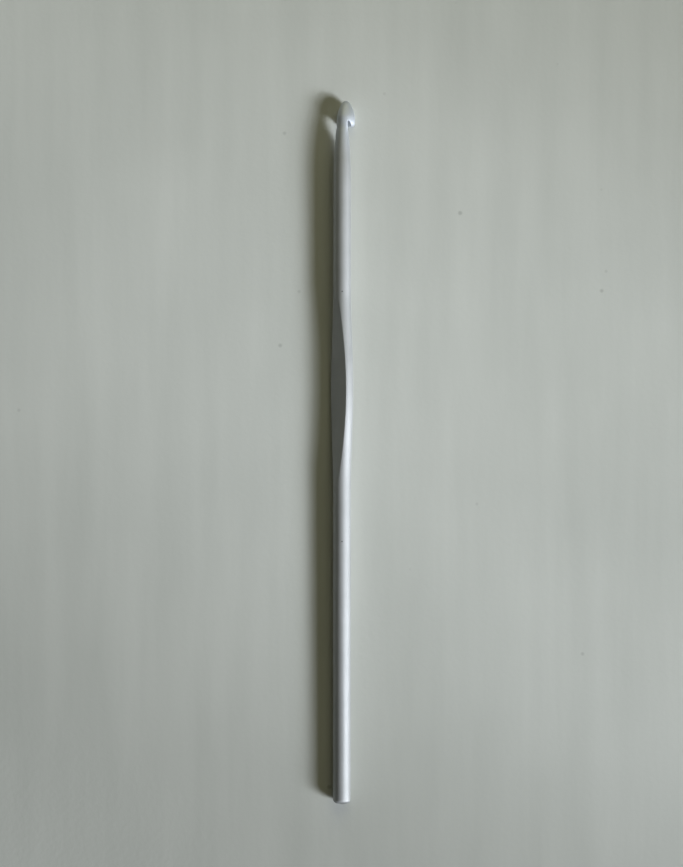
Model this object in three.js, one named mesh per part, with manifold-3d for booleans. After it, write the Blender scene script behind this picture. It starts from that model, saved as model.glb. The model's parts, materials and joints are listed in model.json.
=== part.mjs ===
// Crochet hook made from one length of round aluminium rod, lying as it comes to rest on a table.
// The rod is tapered to a neck, headed and cut at one end, and pressed flat at the thumb rest.
// Its four stretches (head, shank, thumb rest, handle) are separate solids that meet face to face.
//
// Working frame: X runs along the rod from the butt at 0 to the tip, Z points to the side that the
// mouth opens to, and Y runs across. Places along the hook are given as distances from the tip.
import * as THREE from "three";
import { mergeVertices } from "three/addons/utils/BufferGeometryUtils.js";
import Module from "manifold-3d";

// Driving dimensions, in millimetres.
const HOOK_LENGTH = 140;
const ROD_DIAMETER = 3.5;
const BUTT_EDGE_RADIUS = 0.95;

// Head: a blunt bullet that stands towards the mouth side of the rod's axis.
const HEAD_LENGTH = 5.15;
const HEAD_HEIGHT = 3.93;
const HEAD_BREADTH = 3.2;
const HEAD_OFFSET = 1.02;
const NOSE_LENGTH = 3.4;
const NOSE_FULLNESS = 1.4;
const LIP_END_BREADTH = 1.2;
const LIP_END_RADIUS = 0.5;

// Neck: the narrowest place, close behind the lip, and the taper from there to the full rod.
const NECK_FROM_TIP = 6.4;
const NECK_HEIGHT = 2.36;
const NECK_BREADTH = 2.6;
const TAPER_END = 17;

// Mouth: a wedge cut in under the lip, with a round bottom, and the throat that leads into it.
const MOUTH_BOTTOM = 4.1;
const MOUTH_END_RADIUS = 0.17;
const MOUTH_HEIGHT = 0.36;
const MOUTH_FLOOR_SLOPE = 4;
const LIP_SLOPE = 40;
const THROAT_END = 9.4;
const THROAT_END_SLOPE = 15;

// Thumb rest: two shallow pressed faces, one on the mouth side and one on the back.
const THUMB_CENTRE = 57.5;
const THUMB_THICKNESS = 2;
const THUMB_FACE_RADIUS = 230;
const THUMB_SPREAD = 0.9;

// How finely the round forms are divided.
const SIDES = 48;
const NOSE_RINGS = 16;
const BLEND_RINGS = 12;
const LIP_RINGS = 9;
const MOUTH_CURVE_STEPS = 10;
const TAPER_RINGS = 10;
const THUMB_RINGS = 24;
const BUTT_RINGS = 6;
const WELD_DISTANCE = 1e-6;
const ROLL_TOLERANCE = 1e-9;

// Sizes that follow from the ones above.
const ROD_RADIUS = ROD_DIAMETER / 2;
const BLEND_START = MOUTH_BOTTOM - MOUTH_END_RADIUS;
const LIP_LENGTH = HEAD_LENGTH - BLEND_START;
const HEAD_JOINT = THROAT_END + ROD_RADIUS / 4;
const CUTTER_REACH = 4 * ROD_DIAMETER;
const DIE_OVERRUN = ROD_RADIUS / 4;
const PRESS_DEPTH = ROD_RADIUS - THUMB_THICKNESS / 2;
const THUMB_HALF_LENGTH = Math.sqrt(PRESS_DEPTH * (2 * THUMB_FACE_RADIUS - PRESS_DEPTH));

const { lerp, degToRad, smoothstep } = THREE.MathUtils;
const wasm = await Module();
wasm.setup();

// Every cross-section is an oval: its middle's height, its two half sizes, and how far its left
// and right halves are spread apart.
function oval(fromTip, middle, halfHeight, halfBreadth, spread = 0) {
  return { x: HOOK_LENGTH - fromTip, middle, halfHeight, halfBreadth, spread };
}

function evenly(from, to, steps, makeSection) {
  const sections = [];
  for (let i = 0; i <= steps; i += 1) {
    sections.push(makeSection(lerp(from, to, i / steps)));
  }
  return sections;
}

// The bullet of the head grows to its full size over the nose.
function headSection(fromTip) {
  const left = Math.max(NOSE_LENGTH - fromTip, 0) / NOSE_LENGTH;
  const size = Math.sqrt(1 - left ** NOSE_FULLNESS);
  return oval(fromTip, HEAD_OFFSET, (size * HEAD_HEIGHT) / 2, (size * HEAD_BREADTH) / 2);
}

// Its rear part becomes the lip: a tongue that narrows to a round end, where its outer side turns in.
function lipSection(angle) {
  const fromTip = HEAD_LENGTH - LIP_LENGTH * (1 - Math.sin(angle));
  const left = Math.min(HEAD_LENGTH - fromTip, LIP_END_RADIUS) / LIP_END_RADIUS;
  const inset = LIP_END_RADIUS * (1 - Math.sqrt(left * (2 - left)));
  const halfBreadth = lerp(LIP_END_BREADTH / 2, HEAD_BREADTH / 2, Math.cos(angle));
  return oval(fromTip, HEAD_OFFSET, HEAD_HEIGHT / 2 - inset, halfBreadth);
}

// The stem under the lip runs smoothly from the head's oval to the neck's.
function stemSection(fromTip) {
  const head = headSection(fromTip);
  const neck = taperSection(fromTip);
  const share = smoothstep(fromTip, BLEND_START, NECK_FROM_TIP);
  return oval(
    fromTip,
    lerp(head.middle, neck.middle, share),
    lerp(head.halfHeight, neck.halfHeight, share),
    lerp(head.halfBreadth, neck.halfBreadth, share),
  );
}

// The taper swells from the neck and runs out tangent to the rod.
function taperSection(fromTip) {
  const left = Math.max(TAPER_END - fromTip, 0) / (TAPER_END - NECK_FROM_TIP);
  return oval(
    fromTip,
    0,
    lerp(ROD_RADIUS, NECK_HEIGHT / 2, left ** 2),
    lerp(ROD_RADIUS, NECK_BREADTH / 2, left ** 2),
  );
}

function rodSection(fromTip) {
  return oval(fromTip, 0, ROD_RADIUS, ROD_RADIUS);
}

function buttSection(angle) {
  const radius = ROD_RADIUS - BUTT_EDGE_RADIUS * (1 - Math.cos(angle));
  return oval(HOOK_LENGTH - BUTT_EDGE_RADIUS * (1 - Math.sin(angle)), 0, radius, radius);
}

// Half the thickness left between the pressed faces.
function pressedHalf(fromTip) {
  const along = fromTip - THUMB_CENTRE;
  return THUMB_THICKNESS / 2 + THUMB_FACE_RADIUS - Math.sqrt(THUMB_FACE_RADIUS ** 2 - along ** 2);
}

// Pressing moves metal aside: the rod's two halves are spread until the section holds it again.
function spreadAt(fromTip) {
  const half = Math.min(pressedHalf(fromTip), ROD_RADIUS);
  const chord = Math.sqrt(ROD_RADIUS ** 2 - half ** 2);
  const kept = 2 * (half * chord + ROD_RADIUS ** 2 * Math.asin(half / ROD_RADIUS));
  return (THUMB_SPREAD * (Math.PI * ROD_RADIUS ** 2 - kept)) / (4 * half);
}

function thumbSection(fromTip) {
  return oval(fromTip, 0, ROD_RADIUS, ROD_RADIUS, spreadAt(fromTip));
}

// A closed skin over a row of sections that run from the tip's side towards the butt.
function loft(sections) {
  const points = [];
  const faces = [];
  for (const s of sections) {
    for (let i = 0; i < SIDES; i += 1) {
      const angle = ((i + 0.5) / SIDES) * 2 * Math.PI;
      const across = s.halfBreadth * Math.cos(angle) + Math.sign(Math.cos(angle)) * s.spread;
      points.push(s.x, across, s.middle + s.halfHeight * Math.sin(angle));
    }
  }
  for (let ring = 0; ring < sections.length - 1; ring += 1) {
    for (let i = 0; i < SIDES; i += 1) {
      const a = ring * SIDES + i;
      const b = ring * SIDES + ((i + 1) % SIDES);
      faces.push(a, a + SIDES, b, b, a + SIDES, b + SIDES);
    }
  }
  for (const [ring, section] of [[0, sections[0]], [sections.length - 1, sections.at(-1)]]) {
    const hub = points.length / 3;
    points.push(section.x, 0, section.middle);
    for (let i = 0; i < SIDES; i += 1) {
      const a = ring * SIDES + i;
      const b = ring * SIDES + ((i + 1) % SIDES);
      faces.push(...(ring === 0 ? [a, b, hub] : [b, a, hub]));
    }
  }
  const geometry = new THREE.BufferGeometry();
  geometry.setAttribute("position", new THREE.Float32BufferAttribute(points, 3));
  geometry.setIndex(faces);
  return geometry;
}

// A cutter: an outline in X and Z, carried right through the hook across it.
function cutter(outline, curveSegments) {
  const depth = 2 * CUTTER_REACH;
  const geometry = new THREE.ExtrudeGeometry(outline, { depth, bevelEnabled: false, curveSegments });
  geometry.rotateX(Math.PI / 2);
  geometry.translate(0, depth / 2, 0);
  return geometry;
}

function solid(geometry) {
  const bare = geometry.clone();
  bare.deleteAttribute("normal");
  bare.deleteAttribute("uv");
  const merged = mergeVertices(bare, WELD_DISTANCE);
  return new wasm.Manifold(
    new wasm.Mesh({
      numProp: 3,
      vertProperties: new Float32Array(merged.attributes.position.array),
      triVerts: new Uint32Array(merged.index.array),
    }),
  );
}

function skin(body) {
  const mesh = body.getMesh();
  const geometry = new THREE.BufferGeometry();
  geometry.setAttribute("position", new THREE.BufferAttribute(mesh.vertProperties, 3));
  geometry.setIndex(new THREE.BufferAttribute(mesh.triVerts, 1));
  return geometry;
}

// The wedge between the throat's floor and the underside of the lip, seen from the side.
// The floor runs straight under the lip, then swings up to leave the neck at the throat's end.
function mouthOutline() {
  const floor = degToRad(MOUTH_FLOOR_SLOPE);
  const roof = degToRad(LIP_SLOPE);
  const centre = new THREE.Vector2(HOOK_LENGTH - MOUTH_BOTTOM - MOUTH_END_RADIUS, MOUTH_HEIGHT);
  const behindLip = HOOK_LENGTH - HEAD_LENGTH;
  const floorStart = new THREE.Vector2(-Math.sin(floor), -Math.cos(floor));
  floorStart.multiplyScalar(MOUTH_END_RADIUS).add(centre);
  const roofStart = new THREE.Vector2(Math.sin(roof), Math.cos(roof));
  roofStart.multiplyScalar(MOUTH_END_RADIUS).add(centre);
  const floorEnd = floorStart.y + (floorStart.x - behindLip) * Math.tan(floor);
  const roofEnd = roofStart.y + (roofStart.x - behindLip) * Math.tan(roof);
  const throat = new THREE.Vector2(HOOK_LENGTH - THROAT_END, taperSection(THROAT_END).halfHeight);
  const bend = (behindLip - throat.x) / 3;
  const throatSlope = Math.tan(degToRad(THROAT_END_SLOPE));

  const outline = new THREE.Shape();
  outline.moveTo(throat.x, CUTTER_REACH);
  outline.lineTo(throat.x, throat.y);
  outline.bezierCurveTo(
    throat.x + bend,
    throat.y - bend * throatSlope,
    behindLip - bend,
    floorEnd + bend * Math.tan(floor),
    behindLip,
    floorEnd,
  );
  outline.lineTo(floorStart.x, floorStart.y);
  outline.absarc(centre.x, centre.y, MOUTH_END_RADIUS, -Math.PI / 2 - floor, Math.PI / 2 - roof);
  outline.lineTo(roofStart.x, roofStart.y);
  outline.lineTo(behindLip, roofEnd);
  outline.lineTo(behindLip, CUTTER_REACH);
  outline.closePath();
  return outline;
}

// Everything on the stem's side of the lip's underside, behind the bottom of the mouth.
function belowLipOutline() {
  const roof = degToRad(LIP_SLOPE);
  const startX = HOOK_LENGTH - MOUTH_BOTTOM - MOUTH_END_RADIUS;
  const run = HEAD_LENGTH;
  const outline = new THREE.Shape();
  outline.moveTo(startX, -CUTTER_REACH);
  outline.lineTo(startX, MOUTH_HEIGHT);
  outline.lineTo(startX - run, MOUTH_HEIGHT + run * Math.tan(roof));
  outline.lineTo(startX - run, -CUTTER_REACH);
  outline.closePath();
  return outline;
}

// A die face: a very shallow arch whose lowest point leaves half the thumb rest's thickness.
function dieOutline(side) {
  const reach = THUMB_HALF_LENGTH + DIE_OVERRUN;
  const swing = Math.asin(reach / THUMB_FACE_RADIUS);
  const x = HOOK_LENGTH - THUMB_CENTRE;
  const z = side * (THUMB_THICKNESS / 2 + THUMB_FACE_RADIUS);
  const down = (-side * Math.PI) / 2;
  const outline = new THREE.Shape();
  outline.absarc(x, z, THUMB_FACE_RADIUS, down - swing, down + swing);
  outline.lineTo(x + side * reach, side * CUTTER_REACH);
  outline.lineTo(x - side * reach, side * CUTTER_REACH);
  outline.closePath();
  return outline;
}

function headSolid() {
  const noseSection = (share) => headSection(BLEND_START * share ** 2);
  const nose = evenly(1 / NOSE_RINGS, 1, NOSE_RINGS - 1, noseSection);
  const stem = solid(
    loft([
      ...nose,
      ...evenly(BLEND_START, NECK_FROM_TIP, BLEND_RINGS, stemSection).slice(1),
      ...evenly(NECK_FROM_TIP, HEAD_JOINT, TAPER_RINGS / 2, taperSection).slice(1),
    ]),
  );
  const tongue = evenly(0, Math.PI / 2, LIP_RINGS, lipSection).slice(1);
  const bullet = solid(loft([...nose, ...tongue]));
  const lip = bullet.subtract(solid(cutter(belowLipOutline(), 1)));
  return stem.add(lip).subtract(solid(cutter(mouthOutline(), MOUTH_CURVE_STEPS)));
}

function thumbSolid() {
  const from = THUMB_CENTRE - THUMB_HALF_LENGTH;
  const to = THUMB_CENTRE + THUMB_HALF_LENGTH;
  const pressed = solid(loft(evenly(from, to, THUMB_RINGS, thumbSection)));
  return pressed
    .subtract(solid(cutter(dieOutline(1), THUMB_RINGS)))
    .subtract(solid(cutter(dieOutline(-1), THUMB_RINGS)));
}

function shankGeometry() {
  return loft([
    ...evenly(HEAD_JOINT, TAPER_END, TAPER_RINGS, taperSection),
    rodSection(THUMB_CENTRE - THUMB_HALF_LENGTH),
  ]);
}

function handleGeometry() {
  return loft([
    rodSection(THUMB_CENTRE + THUMB_HALF_LENGTH),
    ...evenly(0, Math.PI / 2, BUTT_RINGS, buttSection),
  ]);
}

// At rest the hook stands on three points: the butt, one edge of the thumb rest, and the lip.
// For a roll of the mouth away from straight down, these are the heights that each would give the
// rod's axis; the hook comes to rest where the three lie in one line along it.
function restAttitude() {
  const faceHalf = Math.sqrt(ROD_RADIUS ** 2 - (THUMB_THICKNESS / 2) ** 2) + spreadAt(THUMB_CENTRE);
  const thumbHeight = (roll) =>
    faceHalf * Math.sin(roll) + (THUMB_THICKNESS / 2) * Math.cos(roll);
  const lipHeight = (roll) =>
    HEAD_OFFSET * Math.cos(roll) +
    Math.hypot((HEAD_HEIGHT / 2) * Math.cos(roll), (HEAD_BREADTH / 2) * Math.sin(roll));
  const toLip = HOOK_LENGTH - BLEND_START;
  const share = (HOOK_LENGTH - THUMB_CENTRE) / toLip;
  let low = 0;
  let high = Math.PI / 2;
  while (high - low > ROLL_TOLERANCE) {
    const roll = (low + high) / 2;
    const line = lerp(ROD_RADIUS, lipHeight(roll), share);
    if (thumbHeight(roll) < line) {
      low = roll;
    } else {
      high = roll;
    }
  }
  const pitch = Math.asin((lipHeight(low) - ROD_RADIUS) / toLip);
  return { roll: low, pitch };
}

function aluminium() {
  return new THREE.MeshStandardMaterial({ color: 0xc9cfd3, roughness: 0.38, metalness: 1 });
}

const stretches = {
  hook_head: skin(headSolid()),
  shank: shankGeometry(),
  thumb_rest: skin(thumbSolid()),
  handle: handleGeometry(),
};

const hook = new THREE.Group();
for (const [name, geometry] of Object.entries(stretches)) {
  const mesh = new THREE.Mesh(geometry, aluminium());
  mesh.name = name;
  hook.add(mesh);
}

// The hook is laid down at its rest attitude, then moved so that the table is at Z = 0 and the
// middle of its outline is above the origin.
const { roll, pitch } = restAttitude();
hook.rotation.set(Math.PI - roll, -pitch, 0, "YXZ");
hook.updateMatrixWorld(true);
const box = new THREE.Box3().setFromObject(hook, true);
const middle = box.getCenter(new THREE.Vector3());
hook.position.set(-middle.x, -middle.y, -box.min.z);

export default hook;
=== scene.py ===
import json
import math

import bmesh
import bpy
from mathutils import Matrix, Vector


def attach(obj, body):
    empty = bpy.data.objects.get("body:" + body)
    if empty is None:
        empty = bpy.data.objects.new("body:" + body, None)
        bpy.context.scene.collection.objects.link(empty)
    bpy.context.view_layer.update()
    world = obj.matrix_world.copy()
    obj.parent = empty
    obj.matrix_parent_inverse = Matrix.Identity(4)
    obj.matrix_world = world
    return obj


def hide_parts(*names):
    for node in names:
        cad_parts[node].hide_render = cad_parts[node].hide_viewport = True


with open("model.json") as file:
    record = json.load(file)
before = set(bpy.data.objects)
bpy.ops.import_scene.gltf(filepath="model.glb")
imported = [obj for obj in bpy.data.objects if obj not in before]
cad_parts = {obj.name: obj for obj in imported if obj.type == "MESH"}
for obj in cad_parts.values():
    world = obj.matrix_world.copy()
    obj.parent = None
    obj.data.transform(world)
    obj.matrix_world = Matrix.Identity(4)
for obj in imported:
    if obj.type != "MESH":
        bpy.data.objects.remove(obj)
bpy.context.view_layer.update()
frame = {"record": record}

# The hook is modelled in millimetres, along X from the butt at 0 to the tip, with its mouth
# towards +Z. Places along it are distances from the tip. At the end it is laid down on the table.
MM = 0.001
LENGTH = 140.0
ROD_RADIUS = 1.75
BUTT_EDGE = 0.95

# The head and its lip.
HEAD_LENGTH = 5.15
HEAD_HALF_HEIGHT = 1.965
HEAD_HALF_BREADTH = 1.6
HEAD_OFFSET = 1.02
NOSE_LENGTH = 3.4
NOSE_FULLNESS = 1.4
LIP_ROOT = 2.0
LIP_END_HALF_BREADTH = 0.6
LIP_END = 0.5
LIP_FLAT = 0.9
LIP_BREAK = math.radians(45)

# The neck and the taper.
NECK = 6.4
NECK_HALF_HEIGHT = 1.18
NECK_HALF_BREADTH = 1.3
TAPER_END = 17.0

# The mouth, between the shank's floor and the lip's roof, and the throat that leads into it.
MOUTH_BOTTOM = 4.1
MOUTH_END = 0.17
MOUTH_HEIGHT = 0.36
FLOOR_SLOPE = math.radians(4)
ROOF_SLOPE = math.radians(40)
THROAT_END = 9.4
THROAT_SLOPE = math.radians(15)
THROAT_OVERRUN = 2.0

# The pressed thumb rest.
THUMB_CENTRE = 57.5
THUMB_HALF = 1.0
THUMB_FACE = 230.0
THUMB_SPREAD = 0.9

# How the hook lies: the mouth turned this far from straight down, the head this much up.
ROLL = math.radians(45.359)
PITCH = math.radians(0.318)

# How finely the forms are divided.
ROD_SIDES = 96
HEAD_SIDES = 144
DIE_SIDES = 2048
NOSE_START = 0.03
NOSE_STEPS = 32
BLEND_STEPS = 24
TAPER_STEPS = 14
LIP_STEPS = 20
LIP_END_STEPS = 24
THROAT_STEPS = 24
MOUTH_END_STEPS = 12
THUMB_STEPS = 60
SHANK_STEPS = 10
HANDLE_STEPS = 12
BUTT_STEPS = 14
HEAD_GRAIN = 0.06
HEAD_SMOOTHING = 18
THUMB_GRAIN = 0.07
THUMB_STRETCH = 5.0
THUMB_SMOOTHING = 4

# The stretches are made longer than needed, sawn off a little apart, and bridged.
HEAD_CUT = 10.6
OVERHANG = 1.0
JOINT_GAP = 0.3
SEAM_SLACK = 0.1
RING_SLACK = 0.01
TOOL_REACH = 8.0
BUTT_ROOM = 3.0

# The metal. DRAWN is how much its draw lines spread the shine round the hook.
METAL_DARK = (0.445, 0.452, 0.454, 1)
METAL_PALE = (0.50, 0.507, 0.51, 1)
MARK_COLOUR = (0.16, 0.16, 0.16, 1)
METALLIC = 0.93
ROUGHNESS = 0.65
ROUGHNESS_SWING = 0.06
DRAWN = 0.4
# Painted highlight: the head is painted paler and bluer, starting this far from the tip, in this
# colour.
PAINTED_HIGHLIGHT_REACH = 12.0
PAINTED_HIGHLIGHT_COLOUR = (0.59, 0.62, 0.665, 1)
MARKS = (38.1, 87.7)
METAL_RELIEF = 0.000006

# The stage, in metres.
PAINT_DARK = (0.488, 0.50, 0.471, 1)
PAINT_PALE = (0.55, 0.56, 0.53, 1)
SPECK_COLOUR = (0.26, 0.26, 0.245, 1)
PAINT_ROUGHNESS = 0.85
PAINT_RELIEF = 0.00003
TABLE_SIZE = 8.0
WALL_COLOUR = (0.285, 0.302, 0.3, 1)
WALL_RADIUS = 3.5
WALL_HEIGHT = 0.8

# The light. A bearing is turned from the photograph's right to its bottom.
WINDOW_BEARING = math.radians(28)
WINDOW_ELEVATION = math.radians(27.5)
DAYLIGHT = (0.89, 0.94, 1.0)
LAMPLIGHT = (1.0, 0.985, 0.66)

# The camera looks straight down, and its film is turned a trace out of line with the table.
CAMERA_PLACE = (0.003735, 0.000272, 0.4098)
CAMERA_TURN = -math.pi / 2 + 0.0008
LENS = 85
FILM_WIDTH = 36

BLEND_START = MOUTH_BOTTOM - MOUTH_END
PRESS_DEPTH = ROD_RADIUS - THUMB_HALF
THUMB_REACH = math.sqrt(PRESS_DEPTH * (2 * THUMB_FACE - PRESS_DEPTH))
THUMB_FRONT = THUMB_CENTRE - THUMB_REACH - OVERHANG
THUMB_BACK = THUMB_CENTRE + THUMB_REACH + OVERHANG


def mix(a, b, share):
    return a + (b - a) * share


def evenly(start, stop, steps):
    return [mix(start, stop, i / steps) for i in range(steps + 1)]


# A station along the hook is (distance from the tip, middle's height, half height, half breadth).
def head_station(at):
    left = max(NOSE_LENGTH - at, 0) / NOSE_LENGTH
    size = math.sqrt(1 - left ** NOSE_FULLNESS)
    return at, HEAD_OFFSET, size * HEAD_HALF_HEIGHT, size * HEAD_HALF_BREADTH


def taper_station(at):
    left = max(TAPER_END - at, 0) / (TAPER_END - NECK)
    half_height = mix(ROD_RADIUS, NECK_HALF_HEIGHT, left ** 2)
    half_breadth = mix(ROD_RADIUS, NECK_HALF_BREADTH, left ** 2)
    return at, 0.0, half_height, half_breadth


def stem_station(at):
    """Under the lip, the head's oval passes softly into the neck's."""
    share = min((at - BLEND_START) / (NECK - BLEND_START), 1)
    share = share * share * (3 - 2 * share)
    return tuple(mix(h, n, share) for h, n in zip(head_station(at), taper_station(at)))


def lip_station(angle):
    """The lip is a tongue that narrows to a round end, where its outer side turns in."""
    at = HEAD_LENGTH - (HEAD_LENGTH - BLEND_START) * (1 - math.sin(angle))
    left = min(HEAD_LENGTH - at, LIP_END) / LIP_END
    inset = LIP_END * (1 - math.sqrt(left * (2 - left)))
    half_breadth = mix(LIP_END_HALF_BREADTH, HEAD_HALF_BREADTH, math.cos(angle))
    return at, HEAD_OFFSET, HEAD_HALF_HEIGHT - inset, half_breadth


def rod_station(at):
    return at, 0.0, ROD_RADIUS, ROD_RADIUS


def butt_station(angle):
    radius = ROD_RADIUS - BUTT_EDGE * (1 - math.cos(angle))
    return LENGTH - BUTT_EDGE * (1 - math.sin(angle)), 0.0, radius, radius


def spread_at(at):
    """How far pressing moves each half of the rod aside, so that the section keeps its metal."""
    along = at - THUMB_CENTRE
    half = THUMB_HALF + THUMB_FACE - math.sqrt(THUMB_FACE ** 2 - along ** 2)
    half = min(half, ROD_RADIUS)
    chord = math.sqrt(ROD_RADIUS ** 2 - half ** 2)
    kept = 2 * (half * chord + ROD_RADIUS ** 2 * math.asin(half / ROD_RADIUS))
    return THUMB_SPREAD * (math.pi * ROD_RADIUS ** 2 - kept) / (4 * half)


# Modelling tools.
def choose(piece):
    """Makes the piece the only selected object."""
    bpy.ops.object.select_all(action="DESELECT")
    piece.select_set(True)
    bpy.context.view_layer.objects.active = piece


def edit(piece):
    choose(piece)
    bpy.ops.object.mode_set(mode="EDIT")
    bpy.ops.mesh.select_all(action="SELECT")


def done():
    bpy.ops.object.mode_set(mode="OBJECT")


def pick(piece, test, kind="verts"):
    """In edit mode, selects only the vertices or edges that pass the test."""
    bpy.ops.mesh.select_mode(type="VERT" if kind == "verts" else "EDGE")
    bpy.ops.mesh.select_all(action="DESELECT")
    mesh = bmesh.from_edit_mesh(piece.data)
    for item in getattr(mesh, kind):
        if test(item):
            item.select_set(True)
    mesh.select_flush_mode()
    bmesh.update_edit_mesh(piece.data)


def name_it(name):
    piece = bpy.context.object
    piece.name = name
    piece.data.name = name
    return piece


def draw_out(name, stations, sides):
    """A solid drawn out along X from one oval ring to the next, closed at both ends."""
    at, middle, half_height, half_breadth = stations[0]
    bpy.ops.object.select_all(action="DESELECT")
    bpy.ops.mesh.primitive_circle_add(
        vertices=sides,
        radius=1,
        fill_type="NGON",
        location=(LENGTH - at, 0, middle),
        rotation=(math.pi / 2, math.pi / sides, math.pi / 2),
    )
    piece = name_it(name)
    piece.scale = half_breadth, half_height, 1
    bpy.ops.object.transform_apply(location=True, rotation=True, scale=True)
    edit(piece)
    for old, new in zip(stations, stations[1:]):
        shift = (old[0] - new[0], 0, new[1] - old[1])
        bpy.ops.mesh.extrude_region_move(TRANSFORM_OT_translate={"value": shift})
        bpy.ops.transform.resize(
            value=(1, new[3] / old[3], new[2] / old[2]),
            center_override=(LENGTH - new[0], 0, new[1]),
        )
    bpy.ops.mesh.select_all(action="SELECT")
    bpy.ops.mesh.normals_make_consistent(inside=False)
    done()
    return piece


def outline_tool(name, outline, reach):
    """A cutting tool: an outline in X and Z, carried across the hook."""
    bpy.ops.object.select_all(action="DESELECT")
    bpy.ops.mesh.primitive_circle_add(vertices=len(outline), radius=1, fill_type="NGON")
    tool = name_it(name)
    for vertex, (x, z) in zip(tool.data.vertices, outline):
        vertex.co = x, reach, z
    edit(tool)
    bpy.ops.mesh.extrude_region_move(TRANSFORM_OT_translate={"value": (0, -2 * reach, 0)})
    bpy.ops.mesh.select_all(action="SELECT")
    bpy.ops.mesh.normals_make_consistent(inside=False)
    done()
    return tool


def modify(piece, kind, **settings):
    """Adds a modifier and applies it at once."""
    choose(piece)
    modifier = piece.modifiers.new(kind.title(), kind)
    for key, value in settings.items():
        setattr(modifier, key, value)
    bpy.ops.object.modifier_apply(modifier=modifier.name)


def cut(piece, tool):
    modify(piece, "BOOLEAN", operation="DIFFERENCE", solver="EXACT", object=tool)
    bpy.data.objects.remove(tool)


def refine(piece, grain, smoothing):
    """Makes the piece one fine even mesh, and rounds its edges by a trace."""
    modify(piece, "REMESH", mode="VOXEL", voxel_size=grain)
    modify(piece, "SMOOTH", factor=0.5, iterations=smoothing)


def join(pieces):
    choose(pieces[0])
    for piece in pieces[1:]:
        piece.select_set(True)
    bpy.ops.object.join()
    return pieces[0]


def saw_off(piece, at, side):
    """Opens the piece at a place along the hook; side -1 takes off the butt's side, 1 the tip's."""
    edit(piece)
    bpy.ops.mesh.bisect(
        plane_co=(LENGTH - at, 0, 0),
        plane_no=(side, 0, 0),
        use_fill=False,
        clear_outer=True,
    )
    done()


def weld(piece, front, back):
    """Bridges the two open rings that lie at two places along the hook."""
    edit(piece)

    def open_here(edge):
        return edge.is_boundary and all(
            front - SEAM_SLACK < LENGTH - vertex.co.x < back + SEAM_SLACK
            for vertex in edge.verts
        )

    pick(piece, open_here, "edges")
    bpy.ops.mesh.bridge_edge_loops()
    done()


def mouth_outline():
    """The mouth from the side: a wedge with a round bottom, and the throat that leads into it."""
    centre = Vector((MOUTH_BOTTOM + MOUTH_END, MOUTH_HEIGHT))
    floor_start = centre + MOUTH_END * Vector((math.sin(FLOOR_SLOPE), -math.cos(FLOOR_SLOPE)))
    roof_start = centre + MOUTH_END * Vector((-math.sin(ROOF_SLOPE), math.cos(ROOF_SLOPE)))
    floor_end = floor_start.y + (HEAD_LENGTH - floor_start.x) * math.tan(FLOOR_SLOPE)
    roof_end = roof_start.y + (HEAD_LENGTH - roof_start.x) * math.tan(ROOF_SLOPE)
    bend = (THROAT_END - HEAD_LENGTH) / 3
    start = Vector((HEAD_LENGTH, floor_end))
    end = Vector((THROAT_END, taper_station(THROAT_END)[2]))
    from_start = start + bend * Vector((1, math.tan(FLOOR_SLOPE)))
    before_end = end - bend * Vector((1, math.tan(THROAT_SLOPE)))
    points = []
    for s in evenly(0, 1, THROAT_STEPS):
        swing = start * (1 - s) ** 3 + from_start * 3 * s * (1 - s) ** 2
        points.append(swing + before_end * 3 * s * s * (1 - s) + end * s ** 3)
    past_end = end + THROAT_OVERRUN * Vector((1, math.tan(THROAT_SLOPE)))
    points += [past_end, Vector((past_end.x, TOOL_REACH)), Vector((HEAD_LENGTH, TOOL_REACH))]
    points.append(Vector((HEAD_LENGTH, roof_end)))
    round_start, round_end = math.pi / 2 + ROOF_SLOPE, 1.5 * math.pi + FLOOR_SLOPE
    for angle in evenly(round_start, round_end, MOUTH_END_STEPS):
        points.append(centre + MOUTH_END * Vector((math.cos(angle), math.sin(angle))))
    return [(LENGTH - point.x, point.y) for point in points]


def make_head():
    nose = [head_station(BLEND_START * s ** 2) for s in evenly(NOSE_START, 1, NOSE_STEPS)]
    blend = [stem_station(at) for at in evenly(BLEND_START, NECK, BLEND_STEPS)[1:]]
    taper = [taper_station(at) for at in evenly(NECK, HEAD_CUT + OVERHANG, TAPER_STEPS)[1:]]
    head = draw_out("head", nose + blend + taper, HEAD_SIDES)
    lip_body = [head_station(at) for at in evenly(LIP_ROOT, BLEND_START, LIP_STEPS)]
    lip_back = [lip_station(angle) for angle in evenly(0, math.pi / 2, LIP_END_STEPS)[1:]]
    lip = draw_out("lip", lip_body + lip_back, HEAD_SIDES)
    # The lip's underside is one flat cut, with its two long edges broken.
    for side in (0, -1, 1):
        edit(lip)
        bpy.ops.mesh.bisect(
            plane_co=(LENGTH - MOUTH_BOTTOM - MOUTH_END, side * LIP_FLAT, MOUTH_HEIGHT),
            plane_no=(
                math.sin(ROOF_SLOPE),
                -math.cos(ROOF_SLOPE) * math.sin(side * LIP_BREAK),
                math.cos(ROOF_SLOPE) * math.cos(side * LIP_BREAK),
            ),
            use_fill=True,
            clear_inner=True,
        )
        done()
    for piece in (head, lip):
        cut(piece, outline_tool("mouth_tool", mouth_outline(), TOOL_REACH))
    join([head, lip])
    refine(head, HEAD_GRAIN, HEAD_SMOOTHING)
    saw_off(head, HEAD_CUT, -1)
    return head


def stretch(piece, factor):
    """Stretches the thumb rest along the hook about its middle."""
    edit(piece)
    bpy.ops.transform.resize(
        value=(factor, 1, 1), center_override=(LENGTH - THUMB_CENTRE, 0, 0)
    )
    done()


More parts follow.
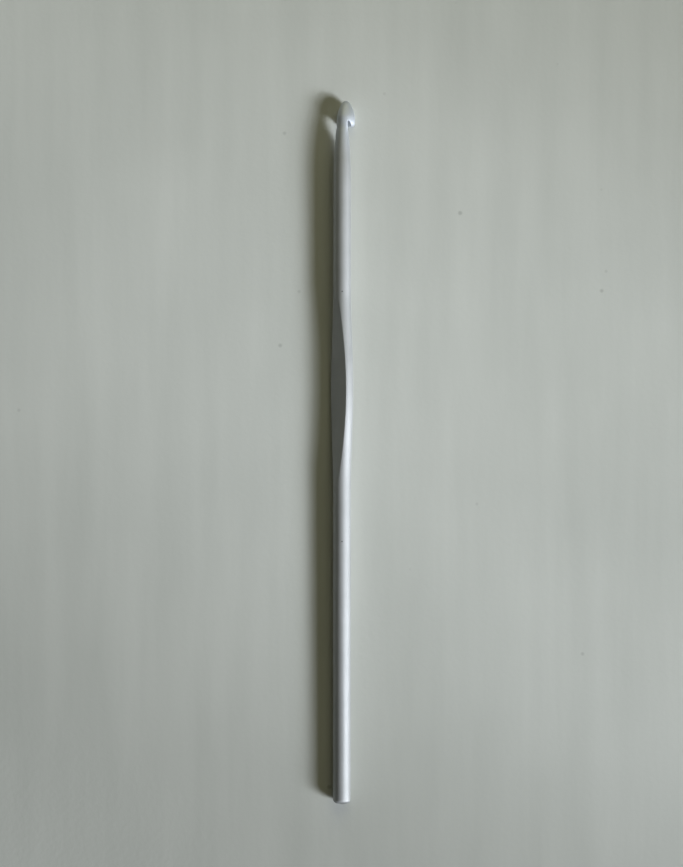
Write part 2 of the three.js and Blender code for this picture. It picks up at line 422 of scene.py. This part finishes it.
def make_thumb_rest():
    places = evenly(THUMB_FRONT - OVERHANG, THUMB_BACK + OVERHANG, THUMB_STEPS)
    thumb = draw_out("thumb", [rod_station(at) for at in places], HEAD_SIDES)
    edit(thumb)
    for at in places:
        shift = spread_at(at) if THUMB_FRONT < at < THUMB_BACK else 0
        for side in (-1, 1):
            pick(thumb, lambda v: abs(LENGTH - v.co.x - at) < RING_SLACK and v.co.y * side > 0)
            bpy.ops.transform.translate(value=(0, side * shift, 0))
    done()
    for side in (-1, 1):
        bpy.ops.object.select_all(action="DESELECT")
        bpy.ops.mesh.primitive_cylinder_add(
            vertices=DIE_SIDES,
            radius=THUMB_FACE,
            depth=2 * TOOL_REACH,
            location=(LENGTH - THUMB_CENTRE, 0, side * (THUMB_HALF + THUMB_FACE)),
            rotation=(math.pi / 2, 0, 0),
        )
        cut(thumb, name_it("die"))
    # It is refined while it is short, so that its faces come out long along the hook.
    stretch(thumb, 1 / THUMB_STRETCH)
    refine(thumb, THUMB_GRAIN, THUMB_SMOOTHING)
    stretch(thumb, THUMB_STRETCH)
    saw_off(thumb, THUMB_BACK, -1)
    saw_off(thumb, THUMB_FRONT, 1)
    return thumb


def make_shank(front, back):
    taper = [taper_station(at) for at in evenly(front - OVERHANG, TAPER_END, SHANK_STEPS)]
    rod = [rod_station(at) for at in evenly(TAPER_END, back + OVERHANG, SHANK_STEPS)[1:]]
    shank = draw_out("shank_rod", taper + rod, ROD_SIDES)
    saw_off(shank, front, 1)
    saw_off(shank, back, -1)
    return shank


def make_handle(front):
    rod = [rod_station(at) for at in evenly(front - OVERHANG, LENGTH - BUTT_ROOM, HANDLE_STEPS)]
    butt_end = [butt_station(angle) for angle in evenly(0, math.pi / 2, BUTT_STEPS)]
    handle = draw_out("handle_rod", rod + butt_end, ROD_SIDES)
    saw_off(handle, front, 1)
    return handle


def make_hook():
    shank_front, shank_back = HEAD_CUT + JOINT_GAP, THUMB_FRONT - JOINT_GAP
    handle_front = THUMB_BACK + JOINT_GAP
    head = make_head()
    thumb = make_thumb_rest()
    shank = make_shank(shank_front, shank_back)
    handle = make_handle(handle_front)
    hook = join([head, shank, thumb, handle])
    weld(hook, HEAD_CUT, shank_front)
    weld(hook, shank_back, THUMB_FRONT)
    weld(hook, THUMB_BACK, handle_front)
    edit(hook)
    bpy.ops.mesh.normals_make_consistent(inside=False)
    done()
    bpy.ops.object.shade_smooth()
    hook.name = hook.data.name = "crochet_hook"
    return hook


butt = Vector(frame["record"]["mounts"][0]["pos_m"])
laid_down = (
    Matrix.Translation(butt)
    @ Matrix.Rotation(-PITCH, 4, "Y")
    @ Matrix.Rotation(math.pi - ROLL, 4, "X")
    @ Matrix.Scale(MM, 4)
)
hook = make_hook()
hook.matrix_world = laid_down
choose(hook)
bpy.ops.object.transform_apply(location=True, rotation=True, scale=True)

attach(hook, "root")
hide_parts("hook_head", "shank", "thumb_rest", "handle")


# Materials.
class Shader:
    """A material being built: it makes nodes and joins them up."""

    def __init__(self, name):
        self.material = bpy.data.materials.new(name)
        self.material.use_nodes = True
        self.nodes = self.material.node_tree.nodes
        self.links = self.material.node_tree.links
        self.surface = self.nodes["Principled BSDF"]

    def add(self, kind, settings=None, **inputs):
        node = self.nodes.new(kind)
        for key, value in (settings or {}).items():
            setattr(node, key, value)
        for key, value in inputs.items():
            self.feed(node, key.replace("_", " "), value)
        return node

    def feed(self, node, socket, value):
        if isinstance(value, bpy.types.NodeSocket):
            self.links.new(value, node.inputs[socket])
        else:
            node.inputs[socket].default_value = value

    def stretched(self, vector, scale):
        return self.add("ShaderNodeMapping", Vector=vector, Scale=scale).outputs["Vector"]

    def noise(self, vector, scale, detail):
        """Soft random cloudiness, mostly between 0.3 and 0.7."""
        node = self.add("ShaderNodeTexNoise", Vector=vector, Scale=scale, Detail=detail)
        return node.outputs["Fac"]

    def dots(self, vector, scale, old, new):
        """Small dots, strewn at random; the ranges say how they fade from middle to edge."""
        node = self.add("ShaderNodeTexVoronoi", Vector=vector, Scale=scale)
        return self.reach(node.outputs["Distance"], old, new)

    def reach(self, value, old, new):
        """Maps a value from one range to another, and holds it there."""
        node = self.add("ShaderNodeMapRange", Value=value)
        for socket, bound in zip(("From Min", "From Max", "To Min", "To Max"), old + new):
            node.inputs[socket].default_value = bound
        return node.outputs["Result"]

    def reckon(self, operation, first, second):
        node = self.add("ShaderNodeMath", {"operation": operation})
        self.feed(node, 0, first)
        self.feed(node, 1, second)
        return node.outputs["Value"]

    def blend(self, share, first, second):
        """A colour between two colours, which are sockets 6 and 7 of the mixing node."""
        node = self.add("ShaderNodeMix", {"data_type": "RGBA"})
        self.feed(node, 0, share)
        self.feed(node, 6, first)
        self.feed(node, 7, second)
        return node.outputs[2]

    def cloudy(self, first_noise, second_noise, first, second):
        """A colour that wanders between two colours with the middle of two noises."""
        tone = self.reckon("MULTIPLY", self.reckon("ADD", first_noise, second_noise), 0.5)
        return self.blend(self.reach(tone, (0.35, 0.65), (0.0, 1.0)), first, second)

    def relief(self, height, depth):
        """Fine relief; the depth is in metres."""
        bump = self.add("ShaderNodeBump", Height=height, Distance=depth)
        self.feed(self.surface, "Normal", bump.outputs["Normal"])


def satin_aluminium():
    """Satin anodised aluminium with faint draw lines, an etched grain, a few small marks and a
    painted highlight on the head.
    """
    shader = Shader("satin_aluminium")
    surface = shader.surface
    # From the table back to millimetres along the hook.
    place = shader.add(
        "ShaderNodeMapping",
        {"vector_type": "TEXTURE"},
        Vector=shader.add("ShaderNodeTexCoord").outputs["Object"],
        Location=butt,
        Rotation=(math.pi - ROLL, -PITCH, 0),
        Scale=(MM, MM, MM),
    ).outputs["Vector"]
    draw_lines = shader.noise(shader.stretched(place, (0.03, 1.6, 1.6)), scale=1.0, detail=5.0)
    grain = shader.noise(place, scale=11.0, detail=2.0)
    handling = shader.noise(place, scale=0.22, detail=3.0)

    # Small marks at random, and one at each place of MARKS on the side that lies uppermost.
    marks = shader.dots(place, 0.3, (0.012, 0.035), (1.0, 0.0))
    up = ROD_RADIUS * (laid_down.inverted().to_3x3() @ Vector((0, 0, 1))).normalized()
    for at in MARKS:
        away = shader.add("ShaderNodeVectorMath", {"operation": "DISTANCE"})
        shader.feed(away, 0, place)
        shader.feed(away, 1, Vector((LENGTH - at, 0, 0)) + up)
        spot = shader.reach(away.outputs["Value"], (0.08, 0.2), (1.0, 0.0))
        marks = shader.reckon("MAXIMUM", marks, spot)

    # Painted highlight: the base colour turns paler and bluer over the head, in place of its
    # brighter shine.
    along = shader.add("ShaderNodeSeparateXYZ", Vector=place).outputs["X"]
    painted_highlight = shader.reach(along, (LENGTH - PAINTED_HIGHLIGHT_REACH, LENGTH - HEAD_LENGTH), (0.0, 1.0))
    metal = shader.cloudy(draw_lines, handling, METAL_DARK, METAL_PALE)
    metal = shader.blend(painted_highlight, metal, PAINTED_HIGHLIGHT_COLOUR)
    metal = shader.blend(marks, metal, MARK_COLOUR)
    shader.feed(surface, "Base Color", metal)
    roughness_range = (ROUGHNESS - ROUGHNESS_SWING, ROUGHNESS + ROUGHNESS_SWING)
    texture = shader.reckon("ADD", draw_lines, grain)
    shader.feed(surface, "Roughness", shader.reach(texture, (0.7, 1.3), roughness_range))
    shader.feed(surface, "Metallic", METALLIC)
    # The tangent runs along the hook; a quarter of a turn spreads the shine round it.
    shader.feed(surface, "Anisotropic", DRAWN)
    shader.feed(surface, "Anisotropic Rotation", 0.25)
    shader.feed(surface, "Tangent", shader.add("ShaderNodeCombineXYZ", X=1.0).outputs["Vector"])

    height = shader.reckon("ADD", draw_lines, shader.reckon("MULTIPLY", grain, 0.5))
    shader.relief(shader.reckon("SUBTRACT", height, marks), METAL_RELIEF)
    return shader.material


hook.data.materials.clear()
hook.data.materials.append(satin_aluminium())


# Stage: a pale table, daylight from the right, a warm glow from the head's side, camera overhead.
def pale_paint():
    """Matt pale paint, brushed along the photograph's height, with a few specks."""
    shader = Shader("pale_paint")
    place = shader.add("ShaderNodeTexCoord").outputs["Object"]
    strokes = shader.noise(shader.stretched(place, (14, 160, 160)), scale=1.0, detail=4.0)
    clouds = shader.noise(place, scale=22.0, detail=3.0)
    paint = shader.cloudy(strokes, clouds, PAINT_DARK, PAINT_PALE)
    specks = shader.dots(place, 90.0, (0.02, 0.05), (0.5, 0.0))
    shader.feed(shader.surface, "Base Color", shader.blend(specks, paint, SPECK_COLOUR))
    shader.feed(shader.surface, "Roughness", PAINT_ROUGHNESS)
    shader.feed(shader.surface, "Specular IOR Level", 0.2)
    shader.relief(shader.noise(place, scale=900.0, detail=3.0), PAINT_RELIEF)
    return shader.material


def make_table():
    bpy.ops.object.select_all(action="DESELECT")
    bpy.ops.mesh.primitive_plane_add(size=TABLE_SIZE)
    table = name_it("table_top")
    table.data.materials.append(pale_paint())


def make_wall():
    """A low pale wall far behind, so that low views don't end in the dark."""
    bpy.ops.object.select_all(action="DESELECT")
    bpy.ops.mesh.primitive_cylinder_add(
        vertices=128,
        radius=WALL_RADIUS,
        depth=WALL_HEIGHT,
        end_fill_type="NOTHING",
        location=(0, 0, WALL_HEIGHT / 2),
    )
    wall = name_it("far_wall")
    shader = Shader("far_wall_paint")
    # The wall shows to the camera and in the metal, and lights nothing.
    rays = shader.add("ShaderNodeLightPath").outputs
    seen = shader.reckon("MAXIMUM", rays["Is Camera Ray"], rays["Is Glossy Ray"])
    seen = shader.reckon("MAXIMUM", seen, rays["Is Transmission Ray"])
    shader.feed(shader.surface, "Base Color", (0, 0, 0, 1))
    shader.feed(shader.surface, "Specular IOR Level", 0.0)
    shader.feed(shader.surface, "Emission Color", WALL_COLOUR)
    shader.feed(shader.surface, "Emission Strength", seen)
    shader.material.cycles.emission_sampling = "NONE"
    wall.data.materials.append(shader.material)
    wall.visible_shadow = False
    wall.visible_diffuse = False


def make_lamp(name, kind, bearing, elevation, distance, power, colour, **settings):
    """A lamp aimed at the hook's middle."""
    lamp = bpy.data.objects.new(name, bpy.data.lights.new(name, kind))
    bpy.context.scene.collection.objects.link(lamp)
    lamp.data.energy = power
    lamp.data.color = colour
    for key, value in settings.items():
        setattr(lamp.data, key, value)
    away = Vector((
        -math.sin(bearing) * math.cos(elevation),
        -math.cos(bearing) * math.cos(elevation),
        math.sin(elevation),
    ))
    lamp.location = distance * away
    lamp.rotation_euler = away.to_track_quat("Z", "Y").to_euler()
    return lamp


def make_lamps():
    make_lamp(
        "daylight", "SUN", WINDOW_BEARING, WINDOW_ELEVATION,
        distance=1.0, power=3.7, colour=DAYLIGHT, angle=math.radians(22),
    )
    # The window's pool of light lies to the right of the hook, a little down from its middle.
    pool = make_lamp(
        "pool", "SPOT", WINDOW_BEARING, WINDOW_ELEVATION,
        distance=0.35, power=14.5, colour=DAYLIGHT,
        shadow_soft_size=0.068, spot_size=math.radians(13.4), spot_blend=1.0,
    )
    pool.location.x -= 0.014
    pool.location.y -= 0.061
    make_lamp(
        "glow", "AREA", math.radians(283), math.radians(42),
        distance=0.55, power=0.8, colour=LAMPLIGHT, shape="SQUARE", size=0.45,
    )


def make_room():
    """The room gives no light of its own."""
    world = bpy.data.worlds.new("room")
    bpy.context.scene.world = world
    world.use_nodes = True
    world.node_tree.nodes["Background"].inputs["Strength"].default_value = 0.0


def make_camera():
    data = bpy.data.cameras.new("camera")
    camera = bpy.data.objects.new("camera", data)
    bpy.context.scene.collection.objects.link(camera)
    data.lens = LENS
    data.sensor_width = FILM_WIDTH
    camera.location = CAMERA_PLACE
    camera.rotation_euler = (0, 0, CAMERA_TURN)
    bpy.context.scene.camera = camera


make_table()
make_wall()
make_lamps()
make_room()
make_camera()
bpy.context.scene.view_settings.view_transform = "Standard"
